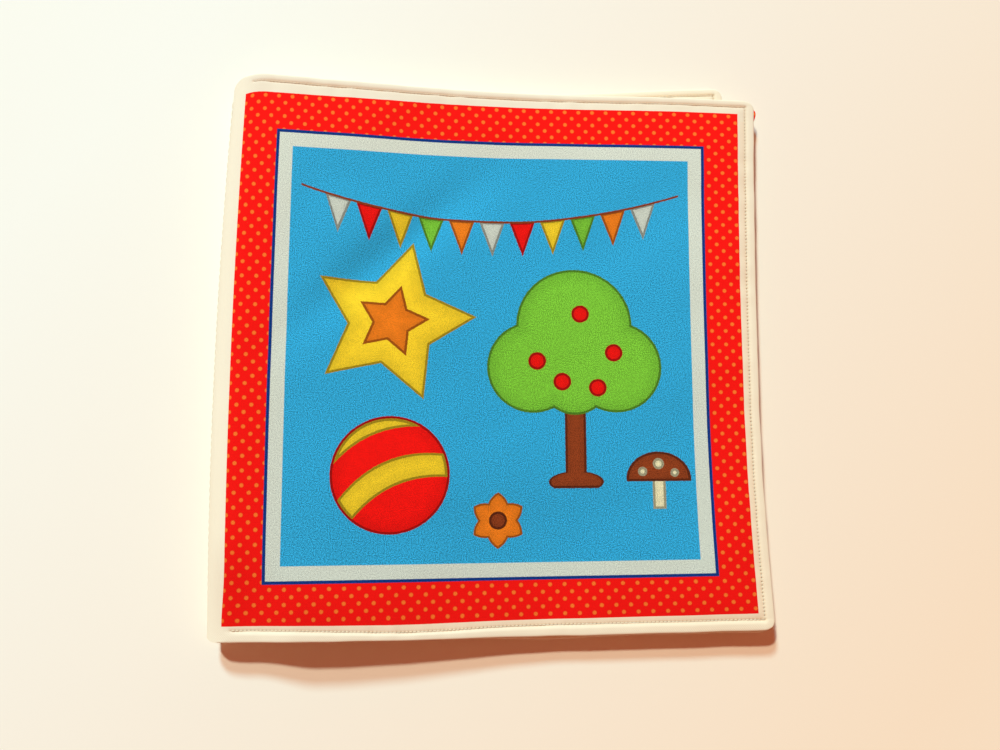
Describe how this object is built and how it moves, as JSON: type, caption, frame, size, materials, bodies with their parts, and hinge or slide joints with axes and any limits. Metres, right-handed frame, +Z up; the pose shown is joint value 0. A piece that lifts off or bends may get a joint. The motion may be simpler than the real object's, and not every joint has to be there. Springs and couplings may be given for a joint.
{
  "type": "cloth baby book",
  "caption": "Soft square cloth book with padded, topstitched leaves that turn on a sewn spine; red dotted border round a blue panel.",
  "frame": {"origin": "middle of the back cover's flat underside, on the surface the closed book rests on", "axes": "+X from the spine to the fore edge, +Y from the foot to the head of the page, +Z up out of the front cover"},
  "size_m": [0.2182, 0.2317, 0.017],
  "materials": {
    "page_1_cotton": "plain-weave printed cotton, matt",
    "page_2_cotton": "plain-weave printed cotton, matt",
    "page_3_cotton": "plain-weave printed cotton, matt",
    "page_4_cotton": "plain-weave printed cotton, matt",
    "page_5_cotton": "plain-weave printed cotton, matt",
    "page_6_cotton": "plain-weave printed cotton, matt",
    "page_7_cotton": "plain-weave printed cotton, matt",
    "page_8_cotton": "plain-weave printed cotton, matt",
    "batting": "low-loft polyester batting, matt and fibrous",
    "thread": "ivory polyester sewing thread, faint sheen"
  },
  "bodies": {
    "back_cover": {"back_cover_front_panel": "page_7_cotton", "back_cover_back_panel": "page_8_cotton", "back_cover_batting": "batting", "back_cover_topstitch_needle_thread": "thread", "back_cover_topstitch_bobbin_thread": "thread", "spine_seam_needle_thread": "thread"},
    "third_leaf": {"third_leaf_front_panel": "page_5_cotton", "third_leaf_back_panel": "page_6_cotton", "third_leaf_batting": "batting", "third_leaf_topstitch_needle_thread": "thread", "third_leaf_topstitch_bobbin_thread": "thread", "spine_seam_bobbin_thread": "thread"},
    "second_leaf": {"second_leaf_front_panel": "page_3_cotton", "second_leaf_back_panel": "page_4_cotton", "second_leaf_batting": "batting", "second_leaf_topstitch_needle_thread": "thread", "second_leaf_topstitch_bobbin_thread": "thread"},
    "front_cover": {"front_cover_front_panel": "page_1_cotton", "front_cover_back_panel": "page_2_cotton", "front_cover_batting": "batting", "front_cover_topstitch_needle_thread": "thread", "front_cover_topstitch_bobbin_thread": "thread"}
  },
  "joints": [
    {"name": "third_leaf_hinge", "type": "hinge", "parent": "back_cover", "child": "third_leaf", "pos_m": [-0.109, 0, 0.0085], "axis": [0, -1, 0], "range_deg": [0, 180]},
    {"name": "second_leaf_hinge", "type": "hinge", "parent": "third_leaf", "child": "second_leaf", "pos_m": [-0.109, 0, 0.0085], "axis": [0, -1, 0], "range_deg": [0, 180]},
    {"name": "front_cover_hinge", "type": "hinge", "parent": "second_leaf", "child": "front_cover", "pos_m": [-0.109, 0, 0.0085], "axis": [0, -1, 0], "range_deg": [0, 180]}
  ]
}
